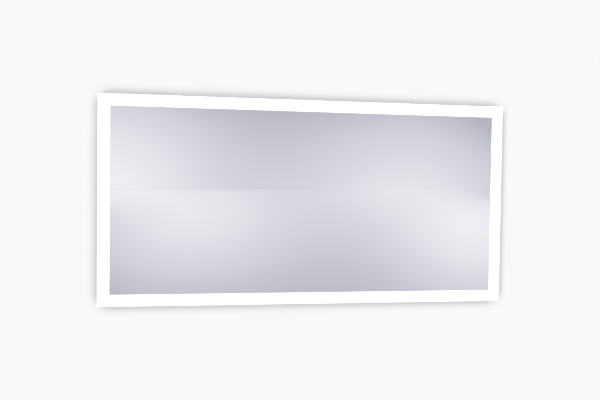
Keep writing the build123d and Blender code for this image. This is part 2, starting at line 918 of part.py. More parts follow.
pole_z = [box_mid + (i - (terminal_poles - 1) / 2) * terminal_pitch for i in range(terminal_poles)]
terminal_points = [
    (box_x + terminal_x + side_x * terminal_screw_side, z) for z in pole_z for side_x in (-1, 1)
]
with BuildPart() as terminal:
    with BuildSketch(at(box_front + box_wall)):
        with Locations((box_x + terminal_x, box_mid)):
            Rectangle(terminal_length, terminal_width)
    extrude(amount=-terminal_height)
    chamfer(terminal.faces().sort_by(Axis.Y)[-1].edges(), 0.6)
    drill(
        terminal_points,
        terminal_back - terminal_screw_length,
        terminal_screw_length,
        terminal_screw_radius + thread_clearance,
    )
    terminal_ends = [box_x + terminal_x + end * terminal_length / 2 for end in (-1, 1)]
    with Locations(*[(x, y_at(terminal_bore_front), z) for z in pole_z for x in terminal_ends]):
        Cylinder(
            terminal_bore_radius, 2 * terminal_bore_depth, rotation=(0, 90, 0), mode=Mode.SUBTRACT
        )
save(terminal.part, "terminal_block")

with BuildPart() as terminal_screws:
    with BuildSketch(at(terminal_back - terminal_screw_length)):
        with Locations(*terminal_points):
            Circle(terminal_screw_radius)
    extrude(amount=-(terminal_screw_length - 1))
    with BuildSketch(at(terminal_back - 1)):
        with Locations(*terminal_points):
            Rectangle(2 * terminal_screw_radius, recess_width)
    extrude(amount=0.8, mode=Mode.SUBTRACT)
save(terminal_screws.part, "terminal_screws")

# ---------------------------------------------------------------- leads, bushes and clips
save(lead(mains_points, lead_radius), "mains_lead")
save(lead(output_points, lead_radius), "led_feed_lead")
save(lead(switch_points, lead_radius), "switch_lead")

bush_places = (
    (feed_x, y_at(feed_depth), inner_top, 1),
    (switch_x, y_at(switch_lead_depth), inner_bottom, -1),
)
with BuildPart() as bushes:
    for x, y, z, outward in bush_places:
        with Locations((x, y, z - outward * bush_sheet / 2)):
            Cylinder(bush_outer + bush_flange, bush_sheet)
        with Locations((x, y, z + outward * channel_wall / 2)):
            Cylinder(bush_outer, channel_wall)
        with Locations((x, y, z)):
            Cylinder(bush_bore, 4 * channel_wall, mode=Mode.SUBTRACT)
save(bushes.part, "lead_bushes")

clip_reach = bush_bore + clip_wall
with BuildPart() as clips:
    for points, run in ((output_points, 2), (switch_points, 4)):
        x, depth, z = ((a + b) / 2 for a, b in zip(points[run], points[run + 1]))
        with BuildSketch(at(depth - clip_reach)):
            with Locations((x, z)):
                Rectangle(2 * clip_reach, clip_width)
        extrude(amount=-(panel_front - depth + clip_reach))
        add(lead(points, bush_bore), mode=Mode.SUBTRACT)
save(clips.part, "lead_clips")

# ---------------------------------------------------------------- rocker switch
switch_y = y_at(switch_depth)
bezel_bottom = panel_bottom - switch_bezel_sheet
pivot_z = bezel_bottom + rocker_pivot_height
opening_length = 2 * (rocker_radius + rocker_clearance)
opening_width = switch_body_width - 2 * switch_wall
with BuildPart() as switch_body:
    with BuildSketch(Plane.XY.offset(bezel_bottom)):
        with Locations((switch_x, switch_y)):
            RectangleRounded(switch_bezel_length, switch_bezel_width, switch_bezel_radius)
    extrude(amount=switch_bezel_sheet)
    chamfer(switch_body.edges().group_by(Axis.Z)[0], 0.4)
    with BuildSketch(Plane.XY.offset(panel_bottom)):
        with Locations((switch_x, switch_y)):
            Rectangle(switch_body_length, switch_body_width)
    extrude(amount=switch_body_height - switch_bezel_sheet)
    with BuildSketch(Plane.XY.offset(bezel_bottom)):
        with Locations((switch_x, switch_y)):
            Rectangle(opening_length, opening_width)
    extrude(amount=switch_bezel_sheet + switch_floor_height, mode=Mode.SUBTRACT)
    with Locations((switch_x, switch_y, pivot_z)):
        Cylinder(
            rocker_pin_radius + rocker_pin_clearance,
            opening_width + 2 * (rocker_pin_reach + rocker_pin_clearance),
            rotation=(90, 0, 0),
            mode=Mode.SUBTRACT,
        )
save(switch_body.part, "switch_body")

rocker_width = opening_width - 2 * rocker_clearance
tilt = radians(rocker_tilt)
rocker_plane = Plane(
    origin=(switch_x, switch_y, pivot_z), x_dir=(cos(tilt), 0, sin(tilt)), z_dir=(0, -1, 0)
)
with BuildPart() as rocker:
    with BuildSketch(rocker_plane):
        rise = rocker_radius * tan(tilt)
        Polygon(
            (-rocker_radius, rocker_base),
            (-rocker_radius, -rocker_crown - rise),
            (0, -rocker_crown),
            (rocker_radius, -rocker_crown - rise),
            (rocker_radius, rocker_base),
            align=None,
        )
        Circle(rocker_radius, mode=Mode.INTERSECT)
    extrude(amount=rocker_width / 2, both=True)
    with BuildSketch(rocker_plane):
        Circle(rocker_pin_radius)
    extrude(amount=opening_width / 2 + rocker_pin_reach, both=True)
save(rocker.part, "switch_rocker")

# ---------------------------------------------------------------- hanging cleat
hook_lip_back = y_at(body_depth) + 2 * cleat_clearance + 2 * cleat_sheet
with BuildPart() as hook:
    with BuildSketch(Plane.YZ.offset(-hook_length / 2)):
        frame_back = y_at(body_depth)
        rectangle(frame_back, frame_back + cleat_sheet, seat_z, seat_z + hook_base)
        rectangle(frame_back, hook_lip_back, seat_z, seat_z + cleat_sheet)
        lip_end = seat_z - cleat_lip + hook_lip_clearance
        rectangle(hook_lip_back - cleat_sheet, hook_lip_back, lip_end, seat_z + cleat_sheet)
    extrude(amount=hook_length)
    drill(hook_screw_points, body_depth, cleat_sheet, panel_screw_radius + thread_clearance)
save(hook.part, "hook_rail")
save(
    screws(
        hook_screw_points,
        body_depth + cleat_sheet,
        panel_screw_radius,
        panel_screw_length,
        panel_screw_head_radius,
        hook_screw_head,
    ),
    "hook_rail_screws",
)

with BuildPart() as wall_rail:
    with BuildSketch(Plane.YZ.offset(-wall_rail_length / 2)):
        lip_front = y_at(body_depth) + cleat_clearance
        rectangle(-cleat_sheet, 0, -wall_rail_below, wall_rail_above)
        rectangle(lip_front, 0, wall_rail_above - cleat_sheet, wall_rail_above)
        rectangle(lip_front, lip_front + cleat_sheet, wall_rail_above - cleat_sheet, seat_z)
    extrude(amount=wall_rail_length)
    with BuildSketch(Plane.XZ):
        with Locations((-wall_slot_spacing / 2, 0), (wall_slot_spacing / 2, 0)):
            SlotOverall(wall_slot_length, 2 * wall_slot_radius)
    extrude(amount=cleat_sheet, mode=Mode.SUBTRACT)
save(wall_rail.part, "wall_rail")

# ---------------------------------------------------------------- wall bumpers
with BuildPart() as bumpers:
    with BuildSketch(at(body_depth)):
        with Locations(
            (-bumper_x, panel_bottom + light_width / 2), (bumper_x, panel_bottom + light_width / 2)
        ):
            Circle(bumper_radius)
    extrude(amount=-wall_gap)
    fillet(bumpers.edges().group_by(Axis.Y)[-1], bumper_edge_radius)
save(bumpers.part, "wall_bumpers")
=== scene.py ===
"""An illuminated wall mirror: silvered glass inside a lit opal border, hung on a wall rail.

Metres. +X is to the viewer's right, +Y goes into the wall and +Z is up. The origin is on the
wall, in the middle of the wall rail's line of screws.
"""

import json
import math

import bmesh
import bpy
from mathutils import Matrix, Vector


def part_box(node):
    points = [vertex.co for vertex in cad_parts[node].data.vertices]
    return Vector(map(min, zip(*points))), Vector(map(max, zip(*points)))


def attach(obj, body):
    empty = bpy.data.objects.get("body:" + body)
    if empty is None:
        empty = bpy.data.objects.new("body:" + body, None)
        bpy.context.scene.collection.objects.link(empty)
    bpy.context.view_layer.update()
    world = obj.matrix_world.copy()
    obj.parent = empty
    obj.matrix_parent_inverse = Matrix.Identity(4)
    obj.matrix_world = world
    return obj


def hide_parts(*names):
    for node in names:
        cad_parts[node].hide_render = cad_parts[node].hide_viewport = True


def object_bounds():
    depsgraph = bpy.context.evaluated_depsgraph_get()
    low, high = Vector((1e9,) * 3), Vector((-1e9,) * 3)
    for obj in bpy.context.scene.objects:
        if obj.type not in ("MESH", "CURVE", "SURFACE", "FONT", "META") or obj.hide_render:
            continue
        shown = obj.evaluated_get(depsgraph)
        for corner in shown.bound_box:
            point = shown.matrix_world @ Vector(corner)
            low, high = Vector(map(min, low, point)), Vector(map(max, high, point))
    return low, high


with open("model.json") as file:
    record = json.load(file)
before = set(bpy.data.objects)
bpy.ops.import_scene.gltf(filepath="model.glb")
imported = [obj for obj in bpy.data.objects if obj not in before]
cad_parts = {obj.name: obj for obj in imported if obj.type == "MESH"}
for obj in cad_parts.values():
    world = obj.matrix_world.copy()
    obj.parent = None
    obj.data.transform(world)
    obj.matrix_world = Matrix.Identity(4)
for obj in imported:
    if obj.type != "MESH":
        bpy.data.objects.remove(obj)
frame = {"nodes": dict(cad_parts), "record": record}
cad_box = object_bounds()

# ---------------------------------------------------------------- viewpoint
# A viewer a step and a half back from the wall, a little left of the middle and level with the
# mirror, looking slightly to the right and down.
viewer_place = (-0.236, -1.603, -0.210)
viewer_turn = math.radians(7.604)
viewer_tilt = math.radians(-1.274)
viewer_lean = math.radians(0.741)
lens = 32.2

camera = bpy.data.objects.new("camera", bpy.data.cameras.new("camera"))
bpy.context.scene.collection.objects.link(camera)
camera.data.lens = lens
camera.data.sensor_width = 36.0
camera.data.clip_start = 0.01
camera.matrix_world = (
    Matrix.Translation(viewer_place)
    @ Matrix.Rotation(-viewer_turn, 4, "Z")
    @ Matrix.Rotation(math.pi / 2 + viewer_tilt, 4, "X")
    @ Matrix.Rotation(viewer_lean, 4, "Z")
)
bpy.context.scene.camera = camera

# ---------------------------------------------------------------- frame channels
# Four extruded aluminium channels, mitred at the corners and sprayed with white powder that is
# baked on. The coat flows into a faint orange-peel skin, a shade uneven from gun to gun.
powder_white = (0.86, 0.86, 0.85)
powder_shade = (0.83, 0.83, 0.825)
powder_gloss = (0.34, 0.44)
powder_peel = 1500.0


class Finish:
    """A material under construction: its node tree, its shader and short ways to add nodes."""

    def __init__(self, name):
        self.material = bpy.data.materials.new(name)
        self.material.use_nodes = True
        self.nodes = self.material.node_tree.nodes
        self.links = self.material.node_tree.links
        self.shader = self.nodes["Principled BSDF"]
        self.place = self.nodes.new("ShaderNodeTexCoord").outputs["Object"]

    def plug(self, socket, value):
        """Joins a socket to another node's output, or sets it."""
        if isinstance(value, bpy.types.NodeSocket):
            self.links.new(value, socket)
        else:
            socket.default_value = value

    def set(self, **values):
        """Sets or joins sockets of the shader by name, with _ for a space."""
        for name, value in values.items():
            self.plug(self.shader.inputs[name.replace("_", " ")], value)

    def stretch(self, scale):
        """The object's coordinates, stretched along each axis."""
        node = self.nodes.new("ShaderNodeMapping")
        node.inputs["Scale"].default_value = scale
        self.links.new(self.place, node.inputs["Vector"])
        return node.outputs["Vector"]

    def noise(self, scale, detail=2.0, where=None, roughness=0.5):
        """Soft cloudy noise, 0 to 1, with this many blotches to the metre."""
        node = self.nodes.new("ShaderNodeTexNoise")
        node.inputs["Scale"].default_value = scale
        node.inputs["Detail"].default_value = detail
        node.inputs["Roughness"].default_value = roughness
        self.links.new(where or self.place, node.inputs["Vector"])
        return node.outputs["Fac"]

    def remap(self, value, low, high, to_low, to_high):
        """Carries a value from one range to another, held at the ends."""
        node = self.nodes.new("ShaderNodeMapRange")
        self.links.new(value, node.inputs["Value"])
        for name, number in (
            ("From Min", low),
            ("From Max", high),
            ("To Min", to_low),
            ("To Max", to_high),
        ):
            node.inputs[name].default_value = number
        return node.outputs["Result"]

    def blend(self, share, first, second):
        """Mixes two colours."""
        node = self.nodes.new("ShaderNodeMix")
        node.data_type = "RGBA"
        self.plug(node.inputs["Factor"], share)
        sockets = [socket for socket in node.inputs if socket.type == "RGBA"]
        for socket, colour in zip(sockets, (first, second)):
            joined = isinstance(colour, bpy.types.NodeSocket)
            self.plug(socket, colour if joined else (*colour, 1.0))
        return next(socket for socket in node.outputs if socket.type == "RGBA")

    def sum(self, operation, first, second=0.0):
        """One Math node."""
        node = self.nodes.new("ShaderNodeMath")
        node.operation = operation
        self.plug(node.inputs[0], first)
        self.plug(node.inputs[1], second)
        return node.outputs["Value"]

    def bump(self, height, depth, strength=1.0):
        """Presses a height into the surface, depth metres deep."""
        node = self.nodes.new("ShaderNodeBump")
        node.inputs["Distance"].default_value = depth
        node.inputs["Strength"].default_value = strength
        self.links.new(height, node.inputs["Height"])
        self.set(Normal=node.outputs["Normal"])

    def coat(self, *node_names):
        """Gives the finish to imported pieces."""
        for name in node_names:
            piece = frame["nodes"][name]
            for slot in piece.material_slots:
                slot.material = self.material


powder = Finish("white_powder_coat")
powder.set(
    Base_Color=powder.blend(powder.noise(9.0, 3.0), powder_white, powder_shade),
    Roughness=powder.remap(powder.noise(260.0), 0.3, 0.7, *powder_gloss),
    IOR=1.5,
)
powder.bump(powder.noise(powder_peel, 1.0), 0.00006, 0.5)
powder.coat("frame_rail_top", "frame_rail_bottom", "frame_stile_left", "frame_stile_right")

# ---------------------------------------------------------------- corner keys
# Cast angle pieces of bare aluminium, pushed into the back chamber of each mitre and screwed from
# behind, so that the four channels pull together.
key_bright = (0.74, 0.75, 0.77)
key_dull = (0.6, 0.61, 0.63)

cast_metal = Finish("bare_aluminium")
cast_metal.set(
    Base_Color=cast_metal.blend(cast_metal.noise(220.0, 4.0), key_bright, key_dull),
    Metallic=1.0,
    Roughness=cast_metal.remap(cast_metal.noise(700.0, 3.0), 0.3, 0.7, 0.34, 0.5),
)
cast_metal.bump(cast_metal.noise(1800.0, 2.0), 0.00005, 0.6)
cast_metal.coat("corner_keys")

# ---------------------------------------------------------------- screws
# Pan-head steel screws with a cross recess, zinc plated. The plating is bright, with a faint blue
# and straw cast and a little wear from the driver.
zinc_blue = (0.66, 0.69, 0.73)
zinc_straw = (0.73, 0.71, 0.64)

zinc = Finish("zinc_plate")
zinc.set(
    Base_Color=zinc.blend(zinc.remap(zinc.noise(180.0, 2.0), 0.4, 0.62, 0, 1), zinc_blue, zinc_straw),
    Metallic=1.0,
    Roughness=zinc.remap(zinc.noise(1500.0, 3.0), 0.3, 0.7, 0.2, 0.36),
)
zinc.bump(zinc.noise(2600.0, 2.0), 0.00002, 0.5)
zinc.coat(
    "corner_key_screws",
    "rear_panel_screws",
    "hook_rail_screws",
    "driver_screws",
    "connection_box_screws",
)

# ---------------------------------------------------------------- LED boards
# Aluminium-cored strips under a white solder mask, one along each channel, joined at the corners
# by short flat ribbons. The feed plugs into a nylon header on the top strip.
mask_white = (0.9, 0.9, 0.87)
mask_shade = (0.84, 0.84, 0.8)
track_pitch = 0.006

mask = Finish("white_solder_mask")
tracks = mask.nodes.new("ShaderNodeTexWave")
tracks.inputs["Scale"].default_value = math.pi / (10 * track_pitch)
tracks.inputs["Distortion"].default_value = 0.0
mask.links.new(mask.place, tracks.inputs["Vector"])
mask.set(
    Base_Color=mask.blend(mask.remap(mask.noise(60.0, 3.0), 0.35, 0.65, 0, 1), mask_white, mask_shade),
    Roughness=mask.remap(mask.noise(900.0), 0.3, 0.7, 0.3, 0.4),
)
mask.bump(mask.remap(tracks.outputs["Fac"], 0.45, 0.55, 0, 1), 0.00003, 0.6)
mask.coat("led_board_top", "led_board_bottom", "led_board_left", "led_board_right")

ribbon_white = (0.88, 0.88, 0.86)
ribbon_shade = (0.76, 0.76, 0.74)
ribbon = Finish("flat_ribbon")
ribbon.set(
    Base_Color=ribbon.blend(ribbon.noise(900.0, 1.0), ribbon_white, ribbon_shade), Roughness=0.45
)
ribbon.bump(ribbon.noise(1300.0, 1.0), 0.00004, 0.6)
ribbon.coat("led_link_ribbons")

# ---------------------------------------------------------------- LEDs
# White packages with a phosphor-filled cup under clear silicone. They are lit.
phosphor = (0.95, 0.84, 0.42)
phosphor_rim = (0.97, 0.95, 0.88)
lit_white = (1.0, 0.95, 0.82)
lit_warm = (1.0, 0.9, 0.68)
led_glow = 1.2

led = Finish("lit_phosphor")
led.set(
    Base_Color=led.blend(led.noise(700.0, 1.0), phosphor, phosphor_rim),
    Roughness=led.remap(led.noise(2000.0), 0.3, 0.7, 0.12, 0.22),
    Coat_Weight=0.6,
    Emission_Color=led.blend(led.noise(500.0), lit_white, lit_warm),
    Emission_Strength=led_glow,
)
led.coat("leds_top", "leds_bottom", "leds_left", "leds_right")

# ---------------------------------------------------------------- light covers
# Opal acrylic strips, extruded with two barbed legs and clipped into the channels. They spread the
# LEDs' light into one even white border, and glow a little less at their edges than on the front.
opal_white = (0.95, 0.95, 0.94)
opal_milk = (0.92, 0.925, 0.92)
front_glow = (1.0, 1.0, 1.0)
edge_glow = (0.8, 0.805, 0.81)
border_glow = 0.95
cap_depth = 0.0025
cover_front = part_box("light_cover_top")[0][1]

opal = Finish("lit_opal_acrylic")
split = opal.nodes.new("ShaderNodeSeparateXYZ")
opal.links.new(opal.place, split.inputs["Vector"])
from_front = opal.remap(split.outputs["Y"], cover_front, cover_front + cap_depth, 0, 1)
opal.set(
    Base_Color=opal.blend(opal.noise(40.0, 3.0), opal_white, opal_milk),
    Roughness=opal.remap(opal.noise(1200.0), 0.3, 0.7, 0.3, 0.38),
    IOR=1.49,
    Emission_Color=opal.blend(from_front, front_glow, edge_glow),
    Emission_Strength=border_glow,
)
opal.bump(opal.noise(2200.0, 1.0), 0.00002, 0.4)
opal.coat("light_cover_top", "light_cover_bottom", "light_cover_left", "light_cover_right")

# ---------------------------------------------------------------- mirror glass
# Four-millimetre float glass, silvered on the back and sealed with grey paint, with a fine ground
# arris round its edge. Silver cools what it shows a touch, and the cut edge looks green.
silver_cool = (0.925, 0.93, 0.94)
silver_clear = (0.935, 0.938, 0.944)
cut_edge = (0.42, 0.56, 0.5)
backing_grey = (0.34, 0.35, 0.36)

silver = Finish("silvered_glass")
silver.set(
    Base_Color=silver.blend(silver.noise(3.0, 2.0), silver_cool, silver_clear),
    Metallic=1.0,
    Roughness=silver.remap(silver.noise(14.0, 4.0), 0.35, 0.75, 0.002, 0.014),
)
ground = silver.nodes.new("ShaderNodeBsdfPrincipled")
ground.inputs["Roughness"].default_value = 0.3
ground.inputs["IOR"].default_value = 1.52
silver.links.new(
    silver.blend(silver.noise(300.0, 2.0), cut_edge, backing_grey), ground.inputs["Base Color"]
)
facing = silver.nodes.new("ShaderNodeNewGeometry").outputs["Normal"]
facing_split = silver.nodes.new("ShaderNodeSeparateXYZ")
silver.links.new(facing, facing_split.inputs["Vector"])
away = silver.sum("GREATER_THAN", facing_split.outputs["Y"], -0.9)
edge_mix = silver.nodes.new("ShaderNodeMixShader")
silver.links.new(away, edge_mix.inputs["Fac"])
silver.links.new(silver.shader.outputs["BSDF"], edge_mix.inputs[1])
silver.links.new(ground.outputs["BSDF"], edge_mix.inputs[2])
silver.links.new(edge_mix.outputs["Shader"], silver.nodes["Material Output"].inputs["Surface"])
silver.coat("mirror_glass")

# ---------------------------------------------------------------- bond tape and brace pads
# Black closed-cell foam: double-sided tape holds the glass to the channels' ledges, and strips on
# the braces keep the middle of the glass from ringing.
foam_black = (0.035, 0.035, 0.037)
foam_grey = (0.07, 0.07, 0.073)

foam = Finish("closed_cell_foam")
foam.set(
    Base_Color=foam.blend(foam.noise(1400.0, 2.0), foam_black, foam_grey),
    Roughness=0.85,
)
foam.bump(foam.noise(2200.0, 2.0), 0.0001, 0.8)
foam.coat("glass_bond_tape", "brace_pads")

# ---------------------------------------------------------------- braces, rear panel and rails
# Folded from hot-dip galvanised sheet. The zinc freezes in flat crystals the size of a thumbnail,
# each a slightly different grey, and the rolls leave faint lines along the sheet.
crystal_light = (0.69, 0.71, 0.73)
crystal_dark = (0.55, 0.57, 0.6)
crystals_to_metre = 75.0

galvanised = Finish("galvanised_sheet")
crystals = galvanised.nodes.new("ShaderNodeTexVoronoi")
crystals.inputs["Scale"].default_value = crystals_to_metre
crystals.inputs["Randomness"].default_value = 1.0
ragged = galvanised.nodes.new("ShaderNodeVectorMath")
ragged.operation = "ADD"
wander = galvanised.nodes.new("ShaderNodeTexNoise")
wander.inputs["Scale"].default_value = 160.0
galvanised.links.new(galvanised.place, wander.inputs["Vector"])
shrink = galvanised.nodes.new("ShaderNodeVectorMath")
shrink.operation = "SCALE"
shrink.inputs["Scale"].default_value = 0.008
galvanised.links.new(wander.outputs["Color"], shrink.inputs[0])
galvanised.links.new(galvanised.place, ragged.inputs[0])
galvanised.links.new(shrink.outputs["Vector"], ragged.inputs[1])
galvanised.links.new(ragged.outputs["Vector"], crystals.inputs["Vector"])
tone = galvanised.nodes.new("ShaderNodeSeparateColor")
galvanised.links.new(crystals.outputs["Color"], tone.inputs["Color"])
galvanised.set(
    Base_Color=galvanised.blend(tone.outputs["Red"], crystal_light, crystal_dark),
    Metallic=1.0,
    Roughness=galvanised.remap(tone.outputs["Green"], 0.0, 1.0, 0.32, 0.5),
)
galvanised.bump(
    galvanised.noise(500.0, 2.0, galvanised.stretch((0.05, 1.0, 1.0))), 0.00003, 0.5
)
galvanised.coat("brace_left", "brace_right", "rear_panel", "hook_rail", "wall_rail")

# ---------------------------------------------------------------- driver
# A moulded white case in two halves holding the mains-to-low-voltage circuit, with a screw terminal
# at each end.
case_white = (0.8, 0.8, 0.78)
case_shade = (0.75, 0.75, 0.73)
mask_green = (0.05, 0.25, 0.12)
mask_deep_green = (0.04, 0.2, 0.1)
mask_gloss = (0.25, 0.35)
sleeve_black = (0.07, 0.07, 0.08)
sleeve_brown = (0.11, 0.1, 0.09)
sleeve_gloss = (0.2, 0.4)
nylon_grey = (0.42, 0.43, 0.45)
nylon_dark = (0.37, 0.38, 0.4)


def moulded(name, light, dark, roughness=(0.42, 0.55), spark=1700.0, depth=0.00006):
    """Plastic as it leaves a spark-textured mould."""
    made = Finish(name)
    made.set(
        Base_Color=made.blend(made.noise(70.0, 3.0), light, dark),
        Roughness=made.remap(made.noise(600.0, 2.0), 0.3, 0.7, *roughness),
        IOR=1.5,
    )
    made.bump(made.noise(spark, 2.0), depth, 0.7)
    return made


moulded("driver_case", case_white, case_shade).coat("driver_base", "driver_cover")
moulded("green_solder_mask", mask_green, mask_deep_green, mask_gloss).coat("driver_circuit_board")
moulded("sleeved_components", sleeve_black, sleeve_brown, sleeve_gloss).coat("driver_components")
grey_moulding = moulded("grey_nylon", nylon_grey, nylon_dark)
grey_moulding.coat("driver_terminals")

# ---------------------------------------------------------------- mains connection box
# A grey moulded tray set into the rear panel, with a natural nylon terminal block inside and a
# paler cover outside, held by two screws.
cover_pale = (0.76, 0.77, 0.77)
cover_shade = (0.71, 0.72, 0.72)
cover_gloss = (0.38, 0.5)
nylon_cream = (0.85, 0.84, 0.78)
nylon_tan = (0.8, 0.78, 0.71)
nylon_gloss = (0.35, 0.5)
brass_bright = (0.8, 0.64, 0.33)
brass_dull = (0.66, 0.5, 0.24)

grey_moulding.coat("connection_box")
pale_cover = moulded("pale_cover", cover_pale, cover_shade, cover_gloss, spark=1300.0, depth=0.0001)
pale_cover.coat("connection_box_cover")
natural_nylon = moulded("natural_nylon", nylon_cream, nylon_tan, nylon_gloss)
natural_nylon.coat("terminal_block", "led_feed_connector", "lead_clips")

brass = Finish("turned_brass")
brass.set(
    Base_Color=brass.blend(brass.noise(500.0, 3.0), brass_bright, brass_dull),
    Metallic=1.0,
    Roughness=brass.remap(brass.noise(1800.0), 0.3, 0.7, 0.22, 0.4),
)
brass.coat("terminal_screws")

# ---------------------------------------------------------------- leads and bushes
# Round white PVC leads between the box, the driver, the switch and the top board. They go through
# moulded rubber bushes where they pass the channels' walls.
sheath_white = (0.83, 0.83, 0.81)
sheath_shade = (0.78, 0.78, 0.76)
sheath_gloss = (0.35, 0.48)
sheath = moulded("pvc_sheath", sheath_white, sheath_shade, sheath_gloss, spark=900.0, depth=0.00003)
sheath.coat("mains_lead", "led_feed_lead", "switch_lead")

rubber_black = (0.028, 0.028, 0.03)
rubber_bloom = (0.06, 0.06, 0.062)
rubber_gloss = (0.55, 0.75)
rubber_depth = 0.00008
black_rubber = moulded("black_rubber", rubber_black, rubber_bloom, rubber_gloss, 1500.0, rubber_depth)
black_rubber.coat("lead_bushes")

# ---------------------------------------------------------------- cable grommet
# A moulded rubber ring snapped into the cover's hole. Its lips are rounded inside and out, so the
# supply cable can't chafe.
crease_angle = math.radians(35)


def keep(name, mesh, smooth=True):
    """Turns finished mesh code into an object at the origin."""
    data = bpy.data.meshes.new(name)
    mesh.to_mesh(data)
    mesh.free()
    for face in data.polygons:
        face.use_smooth = smooth
    data.set_sharp_from_angle(angle=crease_angle)
    made = bpy.data.objects.new(name, data)
    bpy.context.scene.collection.objects.link(made)
    return made


def turn(mesh, profile, centre, axis, steps):
    """Turns a profile of (radius, distance along the axis) about an axis through centre.

    A profile that starts and ends on the axis is solid, and any other is closed into a ring.
    """
    corners = [
        mesh.verts.new(Vector(centre) + Vector((radius, 0.0, 0.0)) + Vector(axis) * distance)
        for radius, distance in profile
    ]
    following = corners[1:] if profile[0][0] == 0.0 else corners[1:] + corners[:1]
    edges = [mesh.edges.new(pair) for pair in zip(corners, following)]
    bmesh.ops.spin(
        mesh,
        geom=corners + edges,
        cent=centre,
        axis=axis,
        angle=2 * math.pi,
        steps=steps,
        use_merge=True,
    )


def lathe(name, profile, centre, steps=72):
    """A piece turned about a line along +Y."""
    mesh = bmesh.new()
    turn(mesh, profile, centre, (0.0, 1.0, 0.0), steps)
    bmesh.ops.remove_doubles(mesh, verts=mesh.verts[:], dist=1e-7)
    bmesh.ops.recalc_face_normals(mesh, faces=mesh.faces[:])
    return keep(name, mesh)


def arc(centre_r, centre_y, radius, start, end, steps=6):
    """Points round an arc of a profile, angles in degrees from outwards towards +Y."""
    return [
        (
            centre_r + radius * math.cos(math.radians(start + (end - start) * i / steps)),
            centre_y + radius * math.sin(math.radians(start + (end - start) * i / steps)),
        )
        for i in range(steps + 1)
    ]


grommet_low, grommet_high = (Vector(corner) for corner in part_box("cable_grommet"))
grommet_centre = (grommet_low + grommet_high) / 2
grommet_front = grommet_low.y - grommet_centre.y
grommet_back = grommet_high.y - grommet_centre.y
grommet_bore = 0.004
grommet_neck = 0.006
grommet_flange = 0.009
grommet_lip = 0.002
lip_round = 0.0009
bore_round = 0.0006
ring_profile = (
    arc(grommet_bore + bore_round, grommet_front + bore_round, bore_round, 180, 270)
    + arc(grommet_flange - lip_round, grommet_front + lip_round, lip_round, 270, 360)
    + [(grommet_flange, grommet_front + grommet_lip), (grommet_neck, grommet_front + grommet_lip)]
    + [(grommet_neck, grommet_back - grommet_lip), (grommet_flange, grommet_back - grommet_lip)]
    + arc(grommet_flange - lip_round, grommet_back - lip_round, lip_round, 0, 90)
    + arc(grommet_bore + bore_round, grommet_back - bore_round, bore_round, 90, 180)
)
grommet = lathe("grommet_ring", ring_profile, grommet_centre)
grommet.data.materials.append(black_rubber.material)
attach(grommet, "mirror")
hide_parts("cable_grommet")

# ---------------------------------------------------------------- wall bumpers
# Grey rubber pads on the bottom corners of the back. Each has a dished face with two rings that
# grip the wall.
bumper_grey = (0.27, 0.27, 0.28)
bumper_bloom = (0.33, 0.33, 0.34)
bumper_gloss = (0.55, 0.7)
grey_rubber = moulded("grey_rubber", bumper_grey, bumper_bloom, bumper_gloss, 1300.0, rubber_depth)
pad_low, pad_high = (Vector(corner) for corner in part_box("wall_bumpers"))
pad_radius = (pad_high.z - pad_low.z) / 2
pad_height = pad_high.y - pad_low.y
pad_shoulder = 0.0014
ring_depth = 0.0005
pad_dish = (
    # share of the pad's radius, ring depths below its face
    (0.80, 0),
    (0.76, 1),
    (0.64, 1),
    (0.60, 0),
    (0.48, 0),
    (0.44, 1),
    (0.20, 2),
    (0.00, 2),
)
pad_profile = (
    [(0.0, 0.0), (pad_radius, 0.0)]
    + arc(pad_radius - pad_shoulder, pad_height - pad_shoulder, pad_shoulder, 0, 90)
    + [(pad_radius * share, pad_height - ring_depth * steps) for share, steps in pad_dish]
)
for side, pad_x in (("left", pad_low.x + pad_radius), ("right", pad_high.x - pad_radius)):
    pad_centre = (pad_x, pad_low.y, (pad_low.z + pad_high.z) / 2)
    pad = lathe(f"bumper_{side}", pad_profile, pad_centre)
    pad.data.materials.append(grey_rubber.material)
    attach(pad, "mirror")
    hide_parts("wall_bumpers")

# ---------------------------------------------------------------- rocker switch
# A small white rocker in a moulded body, pushed into the underside of the frame. A bar and a ring
# stand a little proud of the rocker's two faces, and are filled with grey.
switch_white = (0.86, 0.86, 0.85)
switch_shade = (0.83, 0.83, 0.82)
switch_gloss = (0.16, 0.24)
switch_spark = 1200.0
switch_depth = 0.00001
gloss_switch = moulded(
    "gloss_switch", switch_white, switch_shade, switch_gloss, switch_spark, switch_depth
)
gloss_switch.coat("switch_body", "switch_rocker")
mark_grey = (0.30, 0.30, 0.31)
mark_worn = (0.38, 0.38, 0.39)
rocker_tilt = math.radians(11)
rocker_crown = 0.0026  # from the pivot to the middle of the face
rocker_reach = 0.0059
mark_sheet = 0.00024  # half of it is sunk into the rocker
bar_size = (0.0006, 0.0026)
ring_inner = 0.0009
ring_outer = 0.0014
ring_steps = 40
rocker_joint = next(
    joint for joint in frame["record"]["behaviour"]["joints"] if joint["name"] == "rocker_pivot"
)
rocker_place = Matrix.Translation(rocker_joint["pos_m"]) @ Matrix.Rotation(-rocker_tilt, 4, "Y")


def rocker_face(hand):
    """The middle of one of the rocker's two faces, with z square to it: 1 is +X and -1 is -X."""
    half = rocker_reach / 2
    centre = (hand * half, 0.0, -rocker_crown - half * math.tan(rocker_tilt))
    return rocker_place @ Matrix.Translation(centre) @ Matrix.Rotation(hand * rocker_tilt, 4, "Y")


